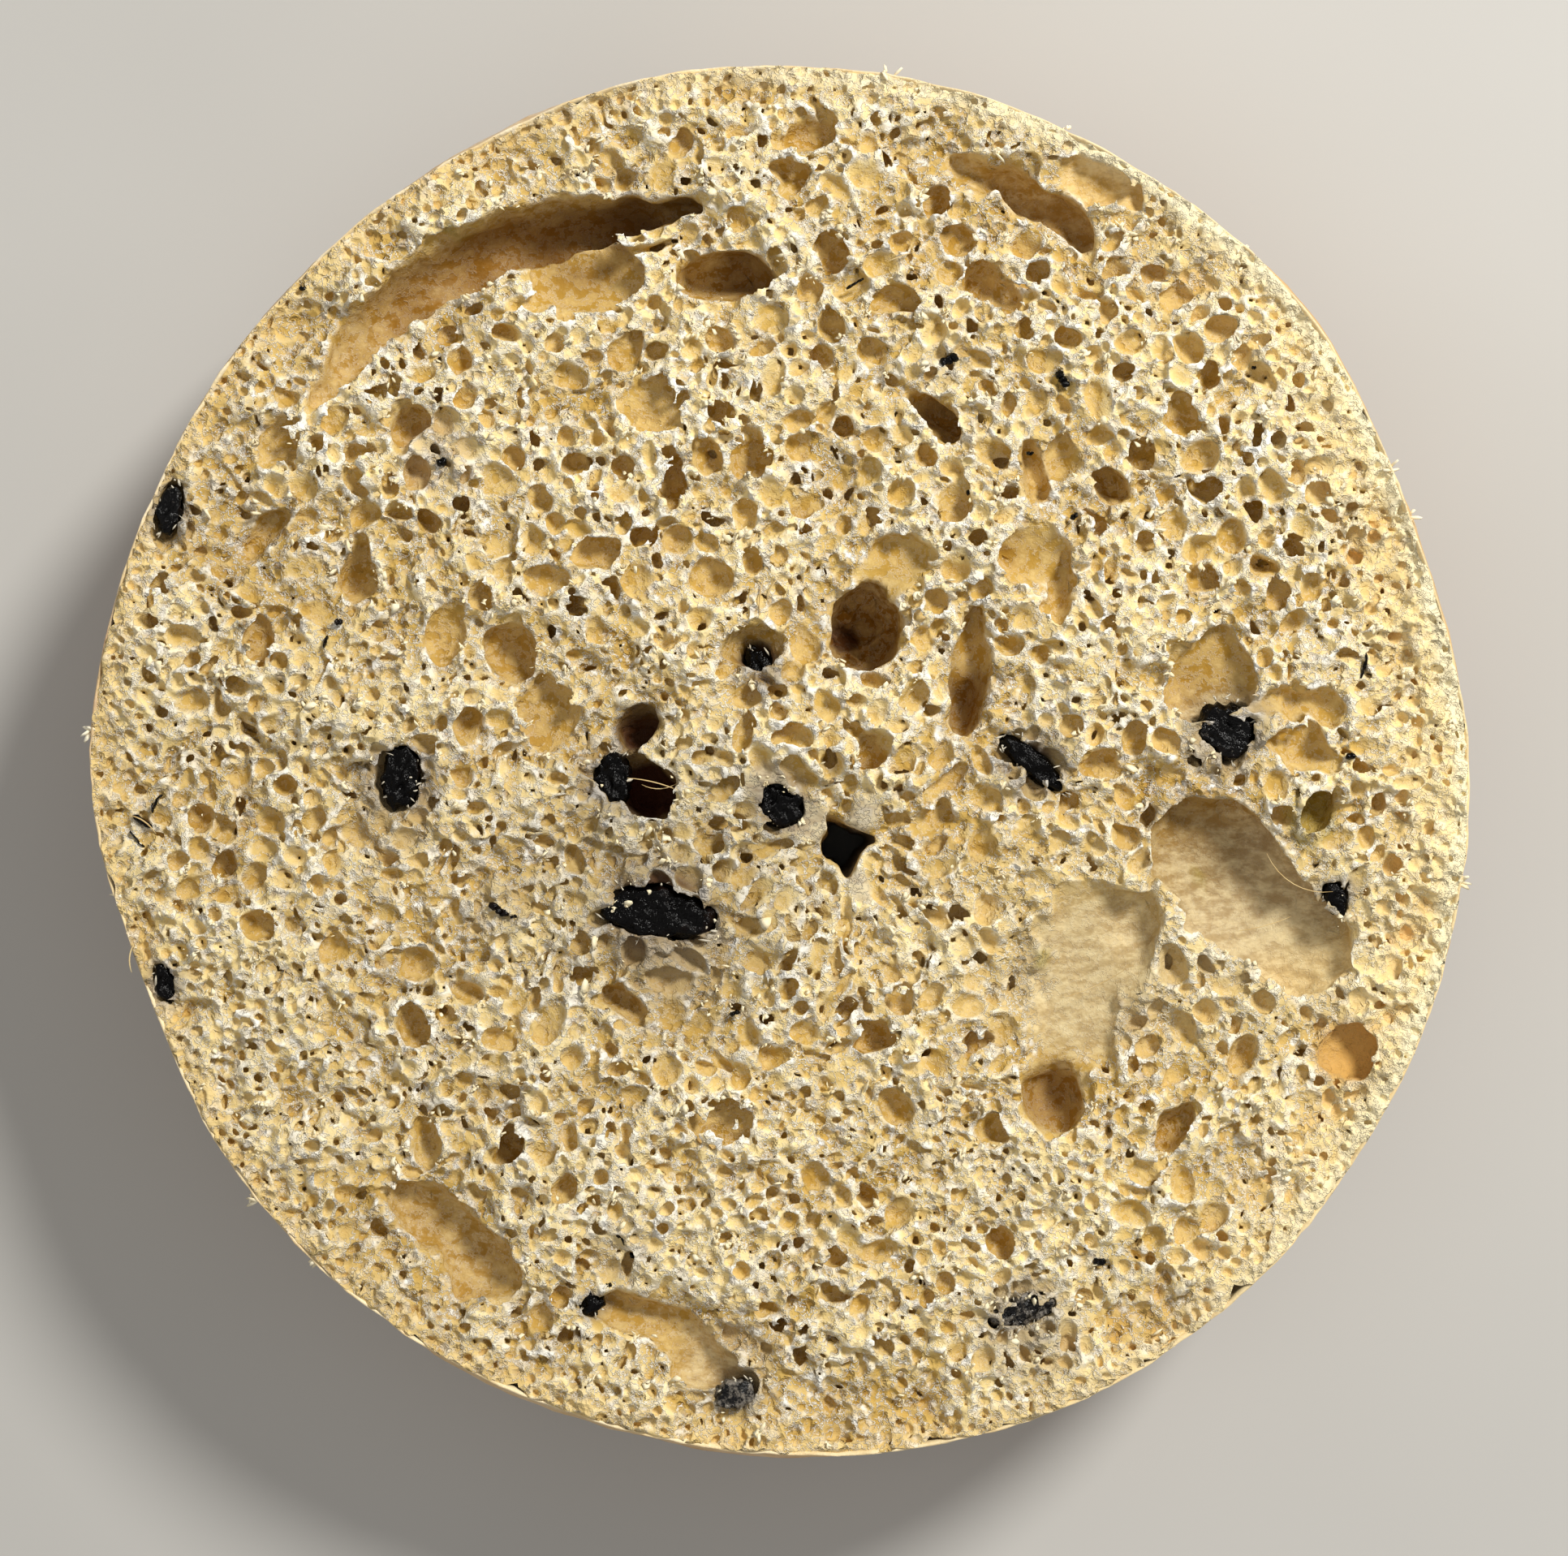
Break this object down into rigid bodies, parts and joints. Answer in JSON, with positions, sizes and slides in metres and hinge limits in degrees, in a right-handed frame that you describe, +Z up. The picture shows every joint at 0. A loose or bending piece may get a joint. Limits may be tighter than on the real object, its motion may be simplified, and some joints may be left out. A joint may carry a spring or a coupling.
{
  "type": "halved olive bagel",
  "caption": "Half of an olive bagel, cut across and lying on its flat base with the cut face up, showing an open crumb with torn hollows and pieces of black olive.",
  "frame": {"origin": "middle of the half's base, on the surface it lies on", "axes": "+Z up through the cut face, +X to the right and +Y away from the viewer in a view of the cut face"},
  "size_m": [0.1072, 0.1081, 0.0216],
  "materials": {
    "bread": "matt, porous crumb with a thin baked crust",
    "olive": "moist, satin"
  },
  "bodies": {
    "root": {"bagel_half": "bread", "olive_left_rim": "olive", "olive_lower_left_rim": "olive", "olive_left": "olive", "olive_by_deep_hole": "olive", "olive_middle": "olive", "olive_largest": "olive", "olive_upper_pit": "olive", "olive_slit": "olive", "olive_right": "olive", "olive_far_right": "olive", "olive_lower_right": "olive", "olive_bottom": "olive", "olive_lower_left": "olive"}
  },
  "joints": []
}
